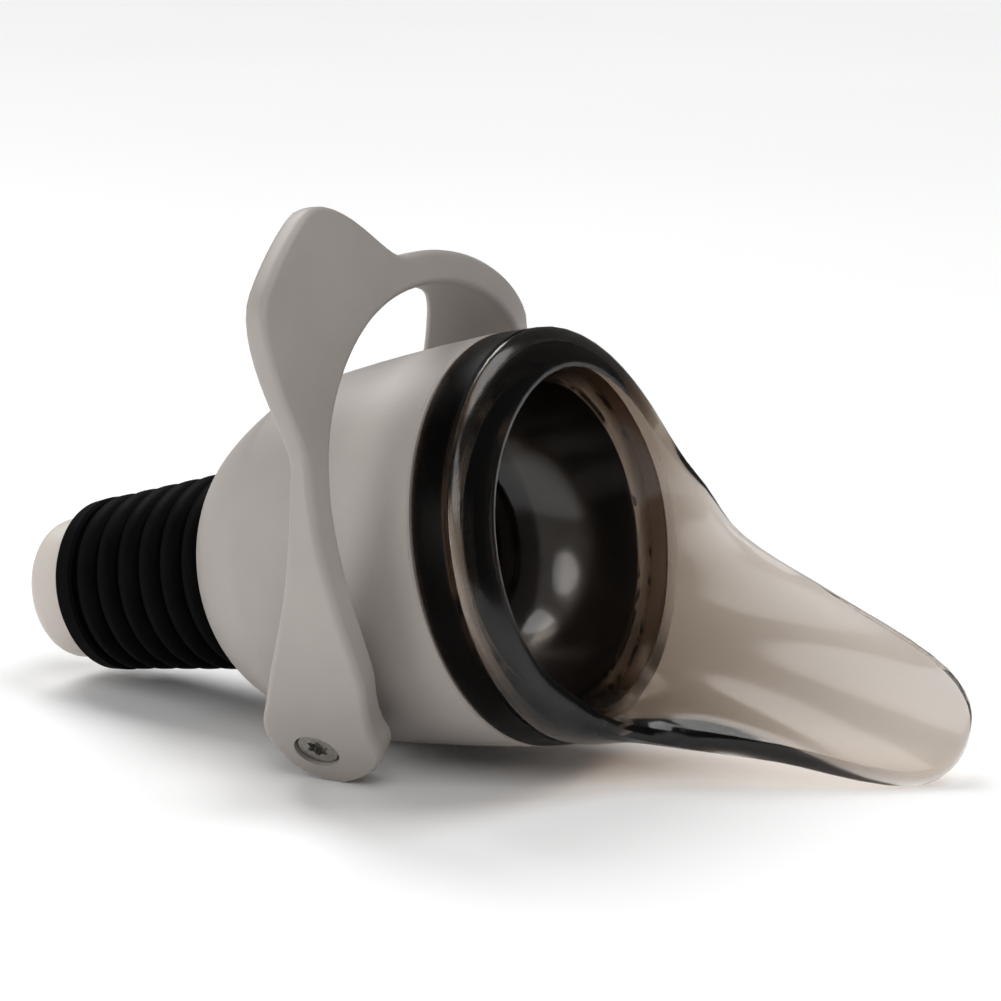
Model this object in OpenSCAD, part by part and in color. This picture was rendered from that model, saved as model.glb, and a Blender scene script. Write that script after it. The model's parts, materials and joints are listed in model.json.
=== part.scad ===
// Bottle stopper and pourer with a swinging bail lever that turns a ball valve.
// Each piece is drawn about the flow axis: X runs to the spout, Y is the hinge line of the lever
// and Z is the side of the lever. The last step lays the whole object down on three points.

/* [Housing] */
// Outer radius of the bell at its mouth
mouth_r = 22; // [21:0.25:25]
// Narrowing of the bell from its mouth to the start of its dome
bell_taper = 2.7; // [1.5:0.1:3.5]
// Distance from the mouth back to the start of the dome
bell_len = 25; // [24:0.5:27]
// Length of the dome from its start to the rear face
dome_len = 11; // [10.5:0.5:14]
// Outer radius of the rear face
rear_r = 11; // [10:0.25:12]
// Wall thickness of the bell
bell_wall = 2.3; // [1.8:0.1:2.6]

/* [Lever] */
// Distance from the start of the dome forward to the hinge line
hinge_ahead = 8.3; // [7.5:0.1:9]
// Free space between the mouth radius and the inside of the lever arms
arm_gap = 1.6; // [1.2:0.05:2]
// Thickness of the lever arms, along the hinge line
arm_thick = 3.7; // [3.5:0.05:5]
// Radius of the round end of each arm, below the hinge line
eye_r = 5.25; // [5:0.25:7]
// Height above the hinge line at which the arms turn into the arch
arch_rise = 6; // [4:0.5:12]
// Height of the finger tab above the inside of the arch
tab_height = 14.9; // [10:0.1:20]
// Angle round the arch at which the finger tab starts
tab_start = 56; // [45:1:60]
// Angle round the arch at which the finger tab is full height
tab_full = 82; // [78:1:88]
// Radius of the rounded edges of the lever
lever_edge = 0.9; // [0.6:0.1:1.2]

/* [Hinge] */
// Radius of the stub shafts
shaft_r = 3.5; // [3:0.1:4]
// Running clearance round the stub shafts
shaft_play = 0.05; // [0.03:0.01:0.1]
// Thickness of the washers between housing and lever
washer_thick = 1.05; // [0.6:0.05:1.2]
// Outer radius of the washers
washer_r = 4.8; // [4.6:0.1:5.2]
// Radius of the screw heads
screw_head_r = 2.2; // [2:0.1:2.6]
// Thickness of the screw heads
screw_head_thick = 1.1; // [0.8:0.1:1.2]
// Depth of the screw heads below the face of the lever
screw_sink = 0.4; // [0.1:0.1:0.6]
// Radius of the screw shanks
screw_r = 1.4; // [1.2:0.1:1.6]
// Length of the screw shanks
screw_len = 7; // [5:0.5:9]

/* [Ball valve] */
// Radius of the valve ball
ball_r = 8.2; // [8:0.1:8.6]
// Radius of the flow bore through the ball
ball_bore_r = 5.2; // [4.5:0.1:5.4]
// Width of the sealing seats along the flow axis
seat_len = 4; // [3.6:0.1:4.1]
// Gap left between the ball and its seats
seat_gap = 0.06; // [0.04:0.01:0.1]
// Wall of the valve body round the ball chamber
chamber_wall = 2.6; // [2:0.1:3]

/* [Spout] */
// Radius of the round hole at the bottom of the funnel
throat_r = 8.8; // [8:0.1:9]
// Length of the threaded ring between the front seat and the funnel
retainer_len = 1.35; // [1.2:0.05:1.8]
// Distance from the mouth radius in to the funnel at the front edge of the valve body
funnel_inset = 6.1; // [5.5:0.1:7]
// Thickness of the funnel lining
lining_wall = 1.1; // [0.9:0.1:1.5]
// Forward reach of the rim at the top of the spout, from the mouth of the bell
rim_reach = 6.5; // [6:0.1:8]
// Widening of the funnel from the valve body to the rim at the top of the spout
rim_flare = 0.45; // [0.2:0.05:1]
// Forward reach of the pouring tip, from the mouth of the bell
tip_reach = 35.2; // [32:0.1:39]
// Drop of the pouring tip below the flow axis
tip_drop = 36.4; // [34:0.1:40]
// Thickness of the rim and of the tongue
rim_wall = 2.4; // [1.8:0.1:2.8]
// Slope of the tongue at its tip
tongue_slope = 40; // [34:1:48]

/* [Collar] */
// Length of the smoked collar ring between the bell and the spout
collar_len = 4.4; // [3:0.1:5]
// Width of the fine seams on both sides of the collar ring
seam = 0.3; // [0.2:0.05:0.4]
// Thickness of the collar ring
collar_wall = 1.85; // [1.5:0.05:2]

/* [Stopper] */
// Number of round ribs on the rubber sleeve
rib_count = 6; // [4:1:6]
// Distance from rib to rib
rib_pitch = 3.25; // [3:0.05:3.4]
// Width of the smooth lead-in band at the end of the sleeve
band_len = 3.1; // [2.5:0.1:4]
// Radius over the rib next to the bell
rib_r_wide = 11.4; // [10.5:0.1:11.8]
// Radius over the lead-in band
rib_r_narrow = 9.8; // [9.1:0.1:10.2]
// Depth of the grooves between the ribs
rib_depth = 1.5; // [0.8:0.1:1.6]
// Outer radius of the stem tube inside the sleeve
stem_r = 7.3; // [7:0.1:7.4]
// Bore radius of the stem tube
stem_bore_r = 5.9; // [5:0.1:6]
// Radius of the head at the end of the stem tube
head_r = 8.1; // [7.8:0.1:8.6]
// Length of the head at the end of the stem tube
head_len = 5.6; // [4:0.1:7]
// Rounding of the head's outer edge
head_round = 2; // [1:0.1:2.1]

/* [Hidden] */
$fn = 96;
fit = 0.1;
seal_gap = 0.04;
reach = 0.01;
round_steps = 4;

mouth_edge = 0.25;

// Places along the flow axis
hinge_x = hinge_ahead - bell_len;
rear_x = -bell_len - dome_len;
collar_x = seam;
shoulder_x = collar_x + collar_len + seam;
body_front_x = 3;
seat_face = ball_r - 0.45;
rear_stop_x = hinge_x - seat_face;
front_stop_x = hinge_x + seat_face;
retainer_front_x = front_stop_x + retainer_len;
throat_x = retainer_front_x + 0.6;

// Radii that follow the mouth of the bell
shoulder_r = mouth_r - bell_taper;
funnel_r = mouth_r - funnel_inset;
rim_r = funnel_r + rim_flare;

// Cubic curve through its end points, as steps + 1 points
function curve(a, b, c, d, steps) = [for (i = [0:steps])
    let (t = i / steps, u = 1 - t)
    u * u * u * a + 3 * u * u * t * b + 3 * u * t * t * c + t * t * t * d];
function ease(low, high, v) = let (t = max(0, min(1, (v - low) / (high - low)))) t * t * (3 - 2 * t);
function mix(a, b, t) = a + (b - a) * t;
function unit(v) = v / norm(v);
function from_end(list) = [for (i = [len(list) - 1:-1:0]) list[i]];
function on(angle) = [cos(angle), sin(angle)];

// Smooth value between the rows of a table whose first column is the place
function row_before(rows, v) = max([for (i = [0:len(rows) - 2]) if (i == 0 || rows[i][0] <= v) i]);
function row_slope(rows, i, col) = i == 0 || i == len(rows) - 1 ? 0
    : (rows[i + 1][col] - rows[i - 1][col]) / (rows[i + 1][0] - rows[i - 1][0]);
function between(rows, v, col) =
    let (
        i = row_before(rows, v),
        w = rows[i + 1][0] - rows[i][0],
        t = max(0, min(1, (v - rows[i][0]) / w)),
        start = rows[i][col],
        end = rows[i + 1][col],
        start_slope = row_slope(rows, i, col) * w,
        end_slope = row_slope(rows, i + 1, col) * w
    )
    start * (1 + 2 * t) * (1 - t) * (1 - t) + start_slope * t * (1 - t) * (1 - t)
    + end * t * t * (3 - 2 * t) + end_slope * t * t * (t - 1);

// Closed skin over a list of rings that all have the same number of points
module skin(rings, closed) {
    n = len(rings[0]);
    m = len(rings);
    last = closed ? m - 1 : m - 2;
    sides = [for (i = [0:last], j = [0:n - 1], half = [0, 1])
        let (
            next = (i + 1) % m,
            a = i * n + j,
            b = i * n + (j + 1) % n,
            c = next * n + j,
            d = next * n + (j + 1) % n
        )
        half == 0 ? [a, b, c] : [b, d, c]];
    ends = closed ? [] : [[for (j = [n - 1:-1:0]) j], [for (j = [0:n - 1]) (m - 1) * n + j]];
    polyhedron(points = [for (ring = rings, p = ring) p], faces = concat(sides, ends));
}

module along_flow() {
    rotate([0, 90, 0]) children();
}

// Revolves an outline of [forward, radius] points about the flow axis
module revolve(outline) {
    rotate([0, 90, 0]) rotate_extrude() polygon([for (p = outline) [p[1], p[0]]]);
}

module tube(from, to, outer, inner) {
    translate([from, 0, 0]) along_flow() difference() {
        cylinder(h = to - from, r = outer);
        translate([0, 0, -1]) cylinder(h = to - from + 2, r = inner);
    }
}

// Puts a piece drawn along +Z from the hinge line on the near (-1) or the far (+1) side
module on_hinge(side) {
    translate([hinge_x, 0, 0]) rotate([-90 * side, 0, 0]) children();
}

// Housing outline, from the mouth back to the rear face
bell_points = concat(
    [[0, mouth_r - mouth_edge]],
    curve([-mouth_edge, mouth_r], [-bell_len * 0.4, mouth_r - 0.5],
        [-bell_len * 0.8, shoulder_r + 1.1], [-bell_len, shoulder_r], 8));
dome_points = curve([-bell_len, shoulder_r], [-bell_len - dome_len * 0.45, shoulder_r - 2.4],
    [rear_x + 1.3, rear_r + 3.6], [rear_x, rear_r], 14);
cavity_mouth_r = mouth_r - bell_wall - fit;
cavity_end_x = rear_x + bell_wall;
cavity_points = concat(
    curve([0, cavity_mouth_r], [-bell_len * 0.4, cavity_mouth_r - 0.5],
        [-bell_len * 0.8, shoulder_r - bell_wall + 1], [-bell_len, shoulder_r - bell_wall - 0.2], 8),
    [[-bell_len - dome_len * 0.45, shoulder_r - bell_wall - 3.2], [cavity_end_x, rear_r - 0.5]]);

// Lever hinge places, measured out from the flow axis along the hinge line
arm_in = mouth_r + arm_gap;
arm_out = arm_in + arm_thick;
pad_out = arm_in - washer_thick - fit;
pad_r = washer_r + 0.3;
drive_w = shaft_r * 1.36;
drive_len = 1.3;
boss_in = ball_r + chamber_wall + 1.6;
seal_out = pad_out - 3.4;
seal_wire = 0.5;
tang_w = shaft_r * 1.2;
tang_in = ball_bore_r + 1.3;
shaft_in = ball_r + 0.5;

// Ball chamber places
chamber_r = ball_r + 0.4;
passage_r = ball_bore_r + 0.3;
chamber_out = chamber_r + chamber_wall;
rear_gasket_thick = 0.8;
body_rear_x = cavity_end_x + rear_gasket_thick;
stem_socket_x = rear_stop_x - 2.6;
spigot_r = stem_r + 2.4;
stem_seal_wire = 0.5;
stem_seal_x = (stem_socket_x + body_rear_x) / 2;

// Funnel from the throat to the front edge of the valve body, moved back and out
function funnel_curve(ahead, out) =
    let (
        start = [throat_x - ahead, throat_r + out],
        end = [body_front_x, funnel_r + out]
    )
    curve(start, [mix(start[0], end[0], 0.1) - 0.4 * out, mix(start[1], end[1], 0.59) + 0.3 * out],
        [mix(start[0], end[0], 0.45) - 0.45 * out, mix(start[1], end[1], 0.82)], end, 8);
lining_points = funnel_curve(0, 0);
lining_back = funnel_curve(0, lining_wall);
body_funnel = funnel_curve(fit, lining_wall + fit);
flange_r = mouth_r - collar_wall - fit;

// Bell of soft-touch plastic with the hinge pads of the lever
module housing() {
    color("#a39b93") difference() {
        union() {
            difference() {
                revolve(concat([[0, 0]], bell_points, dome_points, [[rear_x, 0]]));
                revolve(concat([[reach, 0], [reach, cavity_mouth_r]], cavity_points, [[cavity_end_x, 0]]));
            }
            for (side = [-1, 1]) on_hinge(side) {
                translate([0, 0, boss_in]) cylinder(h = pad_out - boss_in, r = pad_r);
            }
        }
        along_flow() translate([0, 0, rear_x - 1]) cylinder(h = bell_wall + 2, r = stem_r + fit);
        for (side = [-1, 1]) on_hinge(side) {
            translate([0, 0, boss_in - 1]) cylinder(h = pad_out - boss_in + 2, r = shaft_r + shaft_play);
        }
    }
}

// Black inner body: funnel seat, ball chamber and the spigot that takes the stem tube
module valve_body() {
    color("#161618") difference() {
        revolve(concat(
            body_funnel,
            [[body_front_x, flange_r], [0, flange_r], [0, cavity_mouth_r - fit],
             [throat_x * 0.64, cavity_mouth_r - fit - 0.6], [throat_x * 0.74, cavity_mouth_r - 2.5],
             [front_stop_x - 0.5, chamber_out], [stem_socket_x, chamber_out], [stem_socket_x, spigot_r],
             [body_rear_x, spigot_r], [body_rear_x, stem_r + fit], [stem_socket_x, stem_r + fit],
             [stem_socket_x, passage_r], [rear_stop_x, passage_r], [rear_stop_x, chamber_r],
             [throat_x - fit, chamber_r]]));
        for (side = [-1, 1]) on_hinge(side) {
            cylinder(h = chamber_out + 2, r = shaft_r + 2 * fit);
        }
        tube(body_front_x - gasket_depth, body_front_x + 1, gasket_r + gasket_wire + fit,
            gasket_r - gasket_wire - fit);
        tube(stem_seal_x - stem_seal_wire - fit, stem_seal_x + stem_seal_wire + fit,
            stem_r + 2 * stem_seal_wire + fit, stem_r);
    }
}

// Ring of smoked plastic that shows between the bell and the spout
module collar_ring() {
    collar_end_x = collar_x + collar_len;
    color("#2b2420", 0.8) revolve([
        [collar_x, mouth_r - collar_wall], [collar_x, mouth_r - mouth_edge], [collar_x + mouth_edge, mouth_r],
        [collar_end_x - mouth_edge, mouth_r], [collar_end_x, mouth_r - mouth_edge],
        [collar_end_x, mouth_r - collar_wall]]);
}

// Soft ring in the front face of the valve body that seals the spout
gasket_r = (funnel_r + lining_wall + flange_r) / 2;
gasket_wire = (flange_r - funnel_r - lining_wall) / 5;
gasket_depth = 2 * gasket_wire + fit;
module spout_gasket() {
    color("#202022") translate([body_front_x - gasket_wire - seal_gap, 0, 0]) along_flow()
        rotate_extrude() translate([gasket_r, 0]) circle(r = gasket_wire, $fn = 24);
}

// Threaded ring that holds the seats and the ball in their chamber
module seat_retainer() {
    color("#1c1c1e") difference() {
        tube(front_stop_x + reach, retainer_front_x, chamber_r - fit, passage_r + 0.4);
        for (turn = [0:90:270]) rotate([turn, 0, 0])
            translate([retainer_front_x - 0.9, -0.6, passage_r - 0.2]) cube([2, 1.2, 1.6]);
    }
}

// Sealing ring with a hollow face that follows the ball, on the rear (-1) or front (+1) side
module seat(side) {
    difference() {
        tube(side < 0 ? rear_stop_x : front_stop_x - seat_len, side < 0 ? rear_stop_x + seat_len : front_stop_x,
            chamber_r - fit, passage_r);
        translate([hinge_x, 0, 0]) sphere(r = ball_r + seat_gap);
        chamber_seal_ring(side, fit);
    }
}

module front_seat() {
    color("#e9e6df") seat(1);
}

module rear_seat() {
    color("#e9e6df") seat(-1);
}

// Rubber rings round the outside of the two seats
chamber_seal_r = 0.6;
module chamber_seal_ring(side, extra) {
    translate([hinge_x + side * (seat_face - seat_len / 3), 0, 0]) along_flow()
        rotate_extrude() translate([chamber_r - chamber_seal_r - fit, 0])
            circle(r = chamber_seal_r + extra, $fn = 24);
}

module chamber_seals() {
    color("#202022") for (side = [-1, 1]) chamber_seal_ring(side, 0);
}

// Valve ball with its flow bore and the two square sockets of the stub shafts
module valve_ball() {
    color("#2a2a2d") difference() {
        translate([hinge_x, 0, 0]) along_flow() sphere(r = ball_r);
        translate([hinge_x - ball_r - 1, 0, 0]) along_flow() cylinder(h = 2 * ball_r + 2, r = ball_bore_r);
        for (side = [-1, 1]) on_hinge(side) {
            translate([-tang_w / 2 - fit, -tang_w / 2 - fit, tang_in])
                cube([tang_w + 2 * fit, tang_w + 2 * fit, ball_r]);
        }
    }
}

// Stub shaft: square tang in the ball, round journal in the housing, square drive in the lever eye
module stub_shaft(side) {
    color("#8f9296") on_hinge(side) difference() {
        union() {
            translate([-tang_w / 2, -tang_w / 2, tang_in + fit]) cube([tang_w, tang_w, shaft_in - tang_in]);
            translate([0, 0, shaft_in]) cylinder(h = arm_in - shaft_in, r = shaft_r);
            translate([-drive_w / 2, -drive_w / 2, arm_in - 1]) cube([drive_w, drive_w, 1 + drive_len]);
        }
        translate([0, 0, arm_in + drive_len - screw_len - 1]) cylinder(h = screw_len + 2, r = screw_r + fit);
        translate([0, 0, seal_out - seal_wire - fit]) difference() {
            cylinder(h = 2 * (seal_wire + fit), r = shaft_r + 1);
            translate([0, 0, -1]) cylinder(h = 2 * (seal_wire + fit) + 2, r = shaft_r - 2 * seal_wire - fit);
        }
    }
}

module near_shaft() {
    stub_shaft(-1);
}

module far_shaft() {
    stub_shaft(1);
}

// Rubber rings in the grooves of the stub shafts
module shaft_seals() {
    color("#202022") for (side = [-1, 1]) on_hinge(side) translate([0, 0, seal_out]) rotate_extrude()
        translate([shaft_r - seal_wire, 0]) circle(r = seal_wire, $fn = 24);
}

module pivot_washers() {
    color("#d8d6d0") for (side = [-1, 1]) on_hinge(side) translate([0, 0, pad_out + fit / 2]) difference() {
        cylinder(h = washer_thick, r = washer_r);
        translate([0, 0, -1]) cylinder(h = washer_thick + 2, r = shaft_r + fit);
    }
}

// Side outline of the lever above the hinge line: height, back edge and front edge
lever_rows = [[0, -5, 7.8], [4, -4.6, 9.1], [8, -1.75, 11.1], [12, 1.2, 12.1], [16, 4.15, 12.55],
    [20, 6.75, 12.65], [25, 8.85, 12.4], [30, 9.6, 12.1], [48, 9.9, 12.9]];
function round_end(z) = sqrt(max(0, 1 - pow(min(0, z) / eye_r, 2)));
function lever_back(z) = between(lever_rows, max(0, z), 1) * round_end(z);
function lever_front(z) = between(lever_rows, max(0, z), 2) * round_end(z);
function tab_at(angle) = mix(arm_thick, tab_height, ease(tab_start, tab_full, angle));

// Rounded four-sided section of the lever from its inner to its outer edge, both given as [y, z]
function lever_section(inner, outer) =
    let (
        width = norm(outer - inner),
        z_mid = (inner[1] + outer[1]) / 2,
        depth = lever_front(z_mid) - lever_back(z_mid),
        e = min(lever_edge, depth * 0.45)
    )
    [for (corner = [0:3], k = [0:round_steps])
        let (
            a = corner * 90 + k * 90 / round_steps,
            s = (corner == 0 || corner == 3 ? 1 - e / width : e / width) + e / width * cos(a),
            d = (corner < 2 ? 1 - e / depth : e / depth) + e / depth * sin(a),
            yz = mix(inner, outer, s)
        )
        [hinge_x + mix(lever_back(yz[1]), lever_front(yz[1]), d), yz[0], yz[1]]];
eye_steps = 10;
rise_steps = 5;
arch_steps = 40;
arch_crowding = 0.85;
lever_half = concat(
    [for (i = [0:eye_steps]) let (z = -eye_r * cos(5 + 85 * i / eye_steps))
        lever_section([arm_in, z], [arm_out, z])],
    [for (i = [1:rise_steps]) let (z = arch_rise * i / rise_steps)
        lever_section([arm_in, z], [arm_out, z])],
    [for (i = [1:arch_steps]) let (a = 90 * pow(i / arch_steps, arch_crowding), centre = [0, arch_rise])
        lever_section(centre + arm_in * on(a), centre + (arm_in + tab_at(a)) * on(a))]);
lever_rings = concat(lever_half,
    [for (i = [len(lever_half) - 2:-1:0]) [for (p = lever_half[i]) [p[0], -p[1], p[2]]]]);

// Bail lever: two arms with round eyes, the arch and the finger tab
module lever() {
    color("#a39b93") difference() {
        skin(lever_rings, false);
        for (side = [-1, 1]) on_hinge(side) {
            translate([0, 0, arm_in - 1]) cylinder(h = arm_thick + 2, r = screw_r + fit);
            translate([0, 0, arm_out - screw_head_thick - screw_sink]) cylinder(h = 3, r = screw_head_r + 0.3);
            translate([-drive_w / 2 - fit, -drive_w / 2 - fit, arm_in - 1])
                cube([drive_w + 2 * fit, drive_w + 2 * fit, 1 + drive_len + fit]);
        }
    }
}

// Flat screws with six-lobed sockets
module pivot_screws() {
    head_in = arm_out - screw_head_thick - screw_sink + reach;
    color("#c9cacb") for (side = [-1, 1]) on_hinge(side) difference() {
        union() {
            translate([0, 0, head_in]) cylinder(h = screw_head_thick, r = screw_head_r);
            translate([0, 0, head_in - screw_len + 1]) cylinder(h = screw_len, r = screw_r);
        }
        translate([0, 0, head_in + screw_head_thick * 0.35]) {
            cylinder(h = 3, r = screw_head_r * 0.4);
            for (turn = [0:60:300]) rotate([0, 0, turn])
                translate([screw_head_r * 0.42, 0, 0]) cylinder(h = 3, r = screw_head_r * 0.13);
        }
    }
}

// Rim of the spout: angle from the top, forward reach and radius of its inner edge
rim_rows = [[0, rim_reach, rim_r], [45, rim_reach + 0.4, rim_r + 0.9], [90, rim_reach + 0.5, rim_r + 1.15],
    [110, rim_reach + 1.3, rim_r + 1.5], [126, rim_reach + 2.8, rim_r + 2.95],
    [142, mix(rim_reach, tip_reach, 0.22), mix(rim_r, tip_drop, 0.24)],
    [157, mix(rim_reach, tip_reach, 0.54), mix(rim_r, tip_drop, 0.505)],
    [169, mix(rim_reach, tip_reach, 0.905), mix(rim_r, tip_drop, 0.94)], [180, tip_reach, tip_drop]];
rim_sides = 84;
rim_crowding = 36;
shoulder = [shoulder_x, mouth_r];

// Closed outline of the spout wall in the half plane at an angle from the top
function spout_outline(angle) =
    let (
        a = angle > 180 ? 360 - angle : angle,
        tongue = ease(95, 152, a),
        slope = tongue_slope * tongue,
        ahead = on(slope),
        outward = on(90 + tongue_slope * ease(120, 172, a)),
        inner = [between(rim_rows, a, 1), between(rim_rows, a, 2)],
        start = [body_front_x, funnel_r],
        crest = inner + rim_wall * outward + [0.4 * (1 - tongue), 0],
        back = on(mix(108, 180 + slope, tongue)),
        run = norm(inner - start),
        back_run = norm(crest - shoulder)
    )
    concat(
        lining_points,
        [for (i = [1:9]) curve(start, start + run * 0.33 * on(mix(12, 17, tongue)),
            inner - run * 0.33 * ahead, inner, 9)[i]],
        [for (i = [1:4]) curve(inner, inner + 0.5 * rim_wall * ahead,
            crest - 0.5 * rim_wall * back, crest, 4)[i]],
        [for (i = [1:9]) curve(crest, crest + back_run * 0.36 * back,
            shoulder + back_run * [mix(0.2, 0.33, tongue), 0.1 * tongue], shoulder, 9)[i]],
        [[shoulder_x, flange_r], [body_front_x, flange_r]],
        from_end(lining_back));
spout_rings = [for (i = [0:rim_sides - 1])
    let (turn = 360 * i / rim_sides, angle = turn + rim_crowding * sin(turn))
    [for (p = spout_outline(angle)) [p[0], p[1] * sin(angle), p[1] * cos(angle)]]];

// Smoked spout: funnel lining, rounded rim and pouring tongue in one wall
module spout() {
    color("#6b5a4c", 0.5) skin(spout_rings, true);
}

// Stem tube: round head outside, thin wall inside the sleeve, end seated in the valve body
sleeve_front_x = rear_x - fit;
sleeve_len = rib_count * rib_pitch + band_len;
sleeve_end_x = sleeve_front_x - sleeve_len;
stem_end_x = sleeve_end_x - fit - head_len;
head_steps = 8;
head_points = [for (i = [0:head_steps])
    [stem_end_x + head_round, head_r - head_round] + head_round * on(90 + i * 90 / head_steps)];
module stem_tube() {
    color("#efece4") revolve(concat(
        [[stem_socket_x - fit, stem_bore_r], [stem_socket_x - fit, stem_r], [sleeve_end_x - fit, stem_r],
         [sleeve_end_x - fit, head_r]],
        head_points,
        [[stem_end_x, stem_bore_r + 0.4], [stem_end_x + 0.4, stem_bore_r]]));
}

// Rubber ring round the stem tube, in a groove of its socket
module stem_seal() {
    color("#202022") translate([stem_seal_x, 0, 0]) along_flow() rotate_extrude()
        translate([stem_r + stem_seal_wire + seal_gap, 0]) circle(r = stem_seal_wire, $fn = 24);
}

// Radius over the ribs at a place along the flow axis
function crest_r(x) = mix(rib_r_wide, rib_r_narrow, (sleeve_front_x - x) / sleeve_len);
function rib_points(k) = [for (i = [0:7])
    let (a = 180 * i / 7, x = sleeve_front_x - (k + 0.5) * rib_pitch + rib_pitch / 2 * cos(a))
    [x, crest_r(x) - rib_depth * (1 - sin(a))]];

// Ribbed rubber sleeve that grips the inside of the bottle neck
module stopper_sleeve() {
    band_x = sleeve_end_x + band_len;
    color("#18181a") revolve(concat(
        [[sleeve_front_x, stem_r + fit]],
        all_rib_points,
        [[band_x - 0.15, crest_r(band_x) - 0.3], [band_x - 0.5, crest_r(band_x)],
         [sleeve_end_x + 0.7, rib_r_narrow], [sleeve_end_x, rib_r_narrow - 0.7],
         [sleeve_end_x, stem_r + fit]]));
}

// Flat rubber ring between the valve body and the rear wall of the bell
module rear_gasket() {
    color("#202022") tube(cavity_end_x, body_rear_x, spigot_r, stem_r + fit);
}

// The object lies on the edge of its tongue, the near lever eye and the lowest of its round pieces
function lowest(points, up) = let (h = [for (p = points) p * up]) points[search(min(h), h)[0]];
rim_edge = [for (ring = spout_rings, j = [17:23]) ring[j]];
near_eye = [for (i = [len(lever_rings) - eye_steps - 1:len(lever_rings) - 1], p = lever_rings[i]) p];
all_rib_points = [for (k = [0:rib_count - 1], q = rib_points(k)) q];
round_points = concat(bell_points, dome_points, all_rib_points, head_points);
function round_low(up) = let (side = unit([0, up[1], up[2]]))
    lowest([for (q = round_points) [q[0], 0, 0] - q[1] * side], up);
function floor_up(up, rounds) = rounds == 0 ? up
    : let (
        tongue = lowest(rim_edge, up),
        normal = cross(tongue - lowest(near_eye, up), tongue - round_low(up))
    )
    floor_up(unit(normal * sign(normal[2])), rounds - 1);
up = floor_up(unit([0.3, 0.6, 0.8]), 8);
lie_roll = atan2(up[1], up[2]);
lie_tilt = asin(up[0]);
lift = -lowest(rim_edge, up) * up;

// Sideways shift that puts the middle of the object over the origin
function laid_x(p) = p[0] * cos(lie_tilt) - (p[1] * sin(lie_roll) + p[2] * cos(lie_roll)) * sin(lie_tilt);
function laid_y(p) = p[1] * cos(lie_roll) - p[2] * sin(lie_roll);
head_edge = [for (i = [0:head_steps], a = [0:5:355])
    let (q = head_points[i]) [q[0], q[1] * cos(a), q[1] * sin(a)]];
outer_points = concat(head_edge, [for (ring = concat(spout_rings, lever_rings), p = ring) p]);
wide_x = [for (p = outer_points) laid_x(p)];
wide_y = [for (p = outer_points) laid_y(p)];
shift_x = -(min(wide_x) + max(wide_x)) / 2;
shift_y = -(min(wide_y) + max(wide_y)) / 2;

module lay_down() {
    translate([shift_x, shift_y, lift]) rotate([0, -lie_tilt, 0]) rotate([lie_roll, 0, 0]) children();
}

lay_down() housing();
lay_down() valve_body();
lay_down() collar_ring();
lay_down() spout();
lay_down() spout_gasket();
lay_down() seat_retainer();
lay_down() front_seat();
lay_down() rear_seat();
lay_down() valve_ball();
lay_down() near_shaft();
lay_down() far_shaft();
lay_down() shaft_seals();
lay_down() pivot_washers();
lay_down() lever();
lay_down() pivot_screws();
lay_down() stem_tube();
lay_down() stem_seal();
lay_down() stopper_sleeve();
lay_down() chamber_seals();
lay_down() rear_gasket();
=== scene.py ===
"""Looks of the bottle stopper pourer: materials, floor, studio light and the photo's camera."""
import json
import math

import bpy
from mathutils import Matrix, Vector

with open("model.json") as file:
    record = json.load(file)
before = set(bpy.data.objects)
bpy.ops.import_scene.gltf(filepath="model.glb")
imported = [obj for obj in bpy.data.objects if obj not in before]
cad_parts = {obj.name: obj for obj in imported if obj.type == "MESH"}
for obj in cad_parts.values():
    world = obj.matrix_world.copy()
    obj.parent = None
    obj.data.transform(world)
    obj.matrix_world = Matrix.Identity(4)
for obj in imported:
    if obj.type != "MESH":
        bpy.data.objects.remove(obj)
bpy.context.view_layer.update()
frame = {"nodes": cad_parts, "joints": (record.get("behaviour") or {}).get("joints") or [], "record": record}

# Frame of the object: X along the flow axis, Y along the hinge, Z on the side of the lever
HINGE_BACK = 0.0167          # from the mouth of the bell back to the hinge line
joint = frame["joints"][0]
plug = next(m for m in frame["record"]["mounts"] if m["name"] == "neck_plug")
flow = -Vector(plug["axis"]).normalized()
hinge_line = Vector(joint["axis"]).normalized()
lever_side = flow.cross(hinge_line)
mouth_centre = Vector(joint["pos_m"]) + HINGE_BACK * flow
lie = Matrix((flow, hinge_line, lever_side)).transposed()


def laid(point):
    """A place given along flow, hinge and lever side, as a place in the row's frame."""
    return mouth_centre + lie @ Vector(point)


def laid_direction(direction):
    return lie @ Vector(direction)


# Materials
NOISE_LOW, NOISE_HIGH = 0.3, 0.7          # nearly all of a noise lies between these
SKIN_DEPTH = 0.00003                      # height of a moulded or worn skin, in metres
FINE_SKIN_DEPTH = 0.00002
TAUPE_SPREAD = 4                          # how far the cloudiness goes from the tone, of 255
WHITE_SPREAD = 8
TAUPE_CLOUD_HEIGHT = 0.6                  # height of the cloudiness beside that of the grain
SMOKED_ROUGHNESS_SPREAD = 0.03
SMOKED_SHADOW = (0.97, 0.965, 0.96, 1)    # what a skin lets through to the shadow
SMOKED_TINT = (0.32, 0.22, 0.12, 1)
BROWN_BLACK = (11, 7, 6), (21, 14, 11)
RUBBER_BLACK = (4, 4, 5), (10, 10, 12)
STEEL_GREY = (126, 123, 118), (170, 167, 161)
MILKY = dict(Subsurface_Weight=0.15, Subsurface_Radius=(0.004, 0.003, 0.002), Subsurface_Scale=0.5)


def srgb(*values):
    """Colour of a display, 0 to 255, as the linear colour that a shader takes."""
    linear = [(v / 255 / 12.92) if v <= 10 else ((v / 255 + 0.055) / 1.055) ** 2.4 for v in values]
    return (*linear, 1.0)


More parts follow.
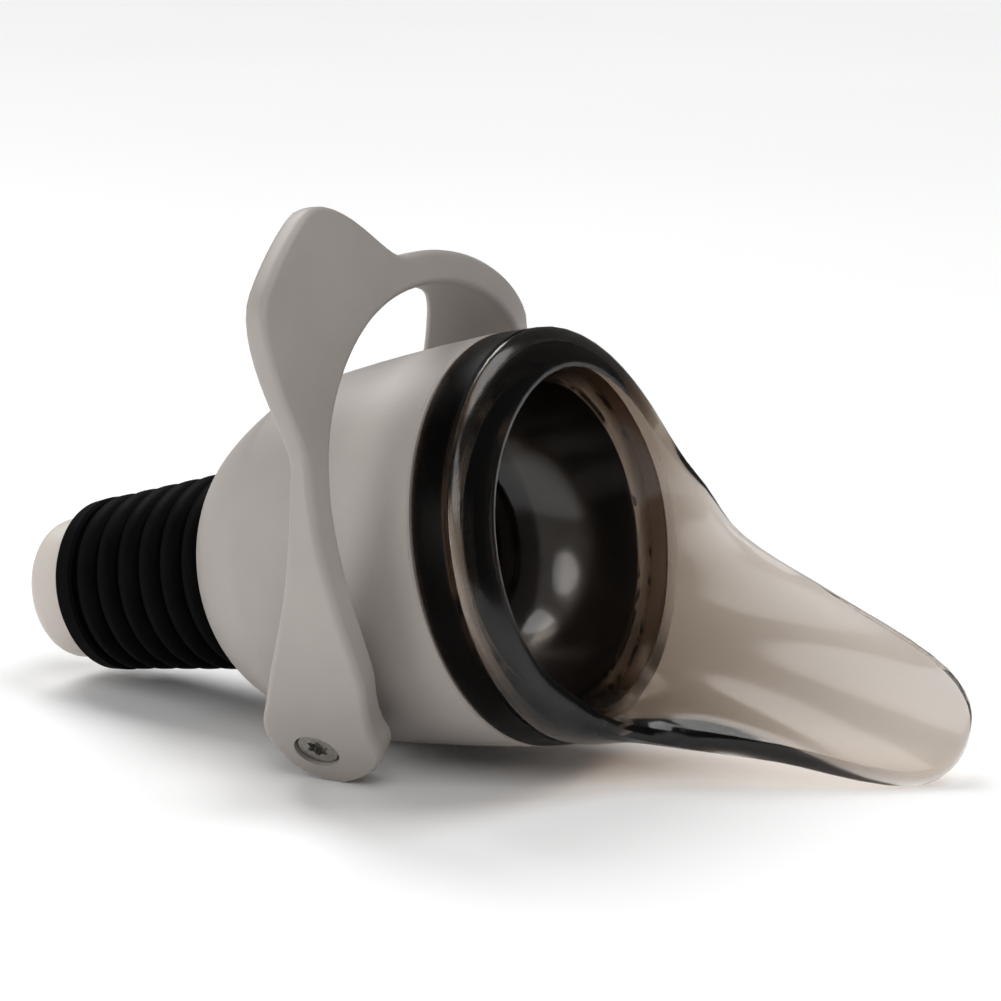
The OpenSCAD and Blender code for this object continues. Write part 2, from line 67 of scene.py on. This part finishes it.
class Material:
    """A node material that is built step by step."""

    def __init__(self, name):
        self.material = bpy.data.materials.new(name)
        self.material.use_nodes = True
        self.tree = self.material.node_tree
        self.shader = self.tree.nodes["Principled BSDF"]
        self.output = self.tree.nodes["Material Output"]
        self.place = self.node("ShaderNodeTexCoord").outputs["Object"]

    def node(self, kind, **values):
        made = self.tree.nodes.new(kind)
        for name, value in values.items():
            if name in made.inputs:
                made.inputs[name].default_value = value
            else:
                setattr(made, name, value)
        return made

    def link(self, start, end):
        self.tree.links.new(start, end)

    def set(self, **values):
        for name, value in values.items():
            self.shader.inputs[name.replace("_", " ")].default_value = value

    def noise(self, scale, detail, roughness=0.5):
        made = self.node("ShaderNodeTexNoise", Scale=scale, Detail=detail, Roughness=roughness)
        self.link(self.place, made.inputs["Vector"])
        return made.outputs["Fac"]

    def colour(self, noise, first, last, noise_high=NOISE_HIGH):
        """Colours from first to last where the noise goes from low to high."""
        made = self.node("ShaderNodeValToRGB")
        made.color_ramp.elements[0].position = NOISE_LOW
        made.color_ramp.elements[1].position = noise_high
        made.color_ramp.elements[0].color = first
        made.color_ramp.elements[1].color = last
        self.link(noise, made.inputs["Fac"])
        self.link(made.outputs["Color"], self.shader.inputs["Base Color"])

    def roughness(self, noise, first, last):
        """Roughness from first to last where the noise goes from low to high."""
        made = self.node("ShaderNodeMapRange")
        made.inputs["From Min"].default_value = NOISE_LOW
        made.inputs["From Max"].default_value = NOISE_HIGH
        made.inputs["To Min"].default_value = first
        made.inputs["To Max"].default_value = last
        self.link(noise, made.inputs["Value"])
        self.link(made.outputs["Result"], self.shader.inputs["Roughness"])

    def math(self, operation, first, second):
        made = self.node("ShaderNodeMath", operation=operation)
        for socket, value in zip(made.inputs, (first, second)):
            if isinstance(value, (int, float)):
                socket.default_value = value
            else:
                self.link(value, socket)
        return made.outputs["Value"]

    def bump(self, height, strength, depth=SKIN_DEPTH):
        made = self.node("ShaderNodeBump", Strength=strength, Distance=depth)
        self.link(height, made.inputs["Height"])
        self.link(made.outputs["Normal"], self.shader.inputs["Normal"])


def taupe_plastic(name, tone):
    """Satin soft-touch moulding: fine erosion grain and a faint cloudiness."""
    m = Material(name)
    grain = m.noise(scale=5200, detail=2.0)
    cloud = m.noise(scale=70, detail=4.0)
    darker, lighter = (srgb(*(t + shift for t in tone)) for shift in (-TAUPE_SPREAD, TAUPE_SPREAD))
    m.colour(cloud, darker, lighter)
    m.roughness(cloud, first=0.42, last=0.52)
    m.bump(m.math("ADD", grain, m.math("MULTIPLY", cloud, TAUPE_CLOUD_HEIGHT)), strength=0.5)
    return m.material


def smoked_clear(name, roughness, grain, depth, density, ior, coat):
    """Smoked see-through plastic with a faint ripple or grain, and colour from its thickness."""
    m = Material(name)
    m.set(Base_Color=(1, 1, 1, 1), IOR=ior, Transmission_Weight=1.0)
    m.set(Coat_Weight=coat, Coat_Roughness=0.16)
    skin = m.noise(scale=grain, detail=2.0)
    m.roughness(skin, first=roughness, last=roughness + SMOKED_ROUGHNESS_SPREAD)
    m.bump(skin, strength=0.4, depth=depth)
    through = m.node("ShaderNodeBsdfTransparent", Color=SMOKED_SHADOW)
    mix = m.node("ShaderNodeMixShader")
    path = m.node("ShaderNodeLightPath")
    m.link(path.outputs["Is Shadow Ray"], mix.inputs["Fac"])
    m.link(m.shader.outputs["BSDF"], mix.inputs[1])
    m.link(through.outputs["BSDF"], mix.inputs[2])
    m.link(mix.outputs["Shader"], m.output.inputs["Surface"])
    absorb = m.node("ShaderNodeVolumeAbsorption", Color=SMOKED_TINT, Density=density)
    m.link(absorb.outputs["Volume"], m.output.inputs["Volume"])
    return m.material


def black_plastic(name, grain):
    """Glossy moulding, black with a trace of brown."""
    m = Material(name)
    cloud = m.noise(scale=90, detail=3.0)
    m.colour(cloud, *(srgb(*tone) for tone in BROWN_BLACK))
    m.roughness(cloud, first=0.12, last=0.18)
    m.bump(m.noise(scale=grain, detail=3.0), strength=0.3)
    m.set(Specular_IOR_Level=0.25)
    return m.material


def black_rubber(name):
    """Matt rubber, finely pitted."""
    m = Material(name)
    cloud = m.noise(scale=240, detail=4.0)
    m.colour(cloud, *(srgb(*tone) for tone in RUBBER_BLACK), noise_high=0.75)
    m.roughness(cloud, first=0.5, last=0.62)
    m.set(IOR=1.08)
    m.bump(m.math("ADD", m.noise(scale=4200, detail=2.0), cloud), strength=0.6)
    return m.material


def off_white(name, tone):
    """Slightly milky plastic."""
    m = Material(name)
    cloud = m.noise(scale=120, detail=4.0)
    m.colour(cloud, srgb(*tone), srgb(*(t + WHITE_SPREAD for t in tone)))
    m.roughness(cloud, first=0.38, last=0.5)
    m.bump(m.noise(scale=2600, detail=3.0), strength=0.5)
    m.set(**MILKY)
    return m.material


def turned_steel():
    m = Material("turned_steel")
    grain = m.noise(scale=2400, detail=4.0, roughness=0.7)
    m.colour(grain, *(srgb(*tone) for tone in STEEL_GREY))
    m.roughness(grain, first=0.28, last=0.44)
    m.bump(grain, strength=0.4)
    m.set(Metallic=1.0)
    return m.material


WELD_DISTANCE = 0.000002
EDGE_ANGLE = 34              # in degrees: faces that meet at more than this keep a sharp edge
LARGE_FACE_WEIGHT = 70


def dress(material, *nodes):
    """Gives CAD nodes a material and smooth shading that keeps their real edges."""
    for name in nodes:
        piece = frame["nodes"][name]
        mesh = piece.data
        mesh.materials.clear()
        mesh.materials.append(material)
        if "custom_normal" in mesh.attributes:
            mesh.attributes.remove(mesh.attributes["custom_normal"])
        mesh.polygons.foreach_set("use_smooth", [True] * len(mesh.polygons))
        piece.modifiers.new("weld", "WELD").merge_threshold = WELD_DISTANCE
        piece.modifiers.new("split", "EDGE_SPLIT").split_angle = math.radians(EDGE_ANGLE)
        piece.modifiers.new("flat", "WEIGHTED_NORMAL").weight = LARGE_FACE_WEIGHT


smoked_gloss = smoked_clear("smoked_gloss", roughness=0.12, grain=160, depth=SKIN_DEPTH,
                            density=420.0, ior=1.2, coat=0.5)
smoked_satin = smoked_clear("smoked_satin", roughness=0.3, grain=3800, depth=FINE_SKIN_DEPTH,
                            density=1500.0, ior=1.12, coat=0.0)
dress(taupe_plastic("taupe_shell", tone=(152, 145, 140)), "housing")
dress(taupe_plastic("taupe_lever", tone=(151, 144, 139)), "lever")
dress(smoked_gloss, "spout")
dress(smoked_satin, "collar_ring")
dress(black_plastic("black_body", grain=2600), "valve_body", "seat_retainer")
dress(black_plastic("dark_ball", grain=900), "valve_ball")
dress(black_rubber("sleeve_rubber"), "stopper_sleeve")
dress(black_rubber("seal_rubber"),
      "spout_gasket", "shaft_seals", "stem_seal", "chamber_seals", "rear_gasket")
dress(off_white("stem_white", tone=(178, 170, 163)), "stem_tube")
dress(off_white("seat_white", tone=(222, 220, 214)), "front_seat", "rear_seat", "pivot_washers")
dress(turned_steel(), "near_shaft", "far_shaft", "pivot_screws")


# Floor
FLOOR_HALF = 6.0
FLOOR_GREYS = (0.9, 0.9, 0.9, 1), (0.93, 0.93, 0.93, 1)


def floor_material():
    m = Material("pale_floor")
    m.colour(m.noise(scale=3, detail=2.0), *FLOOR_GREYS)
    m.set(Roughness=0.9, Specular_IOR_Level=0.1)
    return m.material


floor_mesh = bpy.data.meshes.new("floor")
corners = [(x * FLOOR_HALF, y * FLOOR_HALF, 0) for x, y in ((-1, -1), (1, -1), (1, 1), (-1, 1))]
floor_mesh.from_pydata(corners, [], [(0, 1, 2, 3)])
floor_mesh.materials.append(floor_material())
floor = bpy.data.objects.new("floor", floor_mesh)
bpy.context.scene.collection.objects.link(floor)

# Camera of the photograph: its place and directions about the mouth of the bell, along flow,
# hinge and lever side, found from the perspective of the round edges
CAMERA_PLACE = (0.19236, -0.20315, 0.20984)
CAMERA_RIGHT = (0.82532, 0.30698, -0.47394)
CAMERA_DOWN = (-0.09752, -0.74921, -0.65511)
FOCAL_PIXELS = 3301.6
PICTURE_SIDE = 1001
SENSOR = 36.0                # in millimetres
CLIP_NEAR, CLIP_FAR = 0.01, 100

right = laid_direction(CAMERA_RIGHT).normalized()
down = laid_direction(CAMERA_DOWN)
down = (down - down.dot(right) * right).normalized()
back = right.cross(-down)
turn = Matrix((right, -down, back)).transposed().to_4x4()
camera_data = bpy.data.cameras.new("camera")
camera_data.sensor_width = SENSOR
camera_data.lens = FOCAL_PIXELS * SENSOR / PICTURE_SIDE
camera_data.clip_start = CLIP_NEAR
camera_data.clip_end = CLIP_FAR
camera = bpy.data.objects.new("camera", camera_data)
camera.matrix_world = Matrix.Translation(laid(CAMERA_PLACE)) @ turn
bpy.context.scene.collection.objects.link(camera)
bpy.context.scene.camera = camera


# Light
TARGET = Vector((0, 0, 0.02))
WALL_SPREAD = 37             # in degrees, as seen from the object


def lamp(name, kind, side, height, ahead, strength):
    """A light, placed as the camera sees the object: to its right, up and towards the camera."""
    level_right = Vector((right.x, right.y, 0)).normalized()
    level_back = Vector((back.x, back.y, 0)).normalized()
    place = TARGET + side * level_right + ahead * level_back + Vector((0, 0, height))
    data = bpy.data.lights.new(name, kind)
    data.energy = strength
    made = bpy.data.objects.new(name, data)
    aim = (place - TARGET).to_track_quat("Z", "Y").to_matrix().to_4x4()
    made.matrix_world = Matrix.Translation(place) @ aim
    bpy.context.scene.collection.objects.link(made)
    return data


def softbox(name, side, height, ahead, width, power):
    """A round soft light near the object."""
    data = lamp(name, "AREA", side, height, ahead, power)
    data.shape = "DISK"
    data.size = width


def studio_wall(name, side, height, ahead, strength):
    """A wide soft light so far off that it lights the whole floor evenly."""
    data = lamp(name, "SUN", side, height, ahead, strength)
    data.angle = math.radians(WALL_SPREAD)


softbox("key", side=-0.8, height=0.15, ahead=0.5, width=0.6, power=3.7)
softbox("left", side=-0.86, height=0.28, ahead=-0.16, width=0.5, power=1.3)
softbox("high_front", side=0.1, height=0.62, ahead=0.66, width=0.55, power=2.4)
studio_wall("top", side=0.38, height=0.82, ahead=-0.08, strength=1.35)
studio_wall("back", side=-0.27, height=0.68, ahead=-0.54, strength=1.95)

# World: white to the camera and through the smoked plastic, and elsewhere a weak fill
WORLD_FILL = 0.1
world = bpy.data.worlds.new("studio")
bpy.context.scene.world = world
world.use_nodes = True
world_tree = world.node_tree
background = world_tree.nodes["Background"]
background.inputs["Color"].default_value = (1, 1, 1, 1)
rays = world_tree.nodes.new("ShaderNodeLightPath")
seen = world_tree.nodes.new("ShaderNodeMath")
seen.operation = "MAXIMUM"
world_tree.links.new(rays.outputs["Is Camera Ray"], seen.inputs[0])
world_tree.links.new(rays.outputs["Is Transmission Ray"], seen.inputs[1])
fill = world_tree.nodes.new("ShaderNodeMath")
fill.operation = "MAXIMUM"
fill.inputs[1].default_value = WORLD_FILL
world_tree.links.new(seen.outputs["Value"], fill.inputs[0])
world_tree.links.new(fill.outputs["Value"], background.inputs["Strength"])
bpy.context.scene.view_settings.view_transform = "Standard"
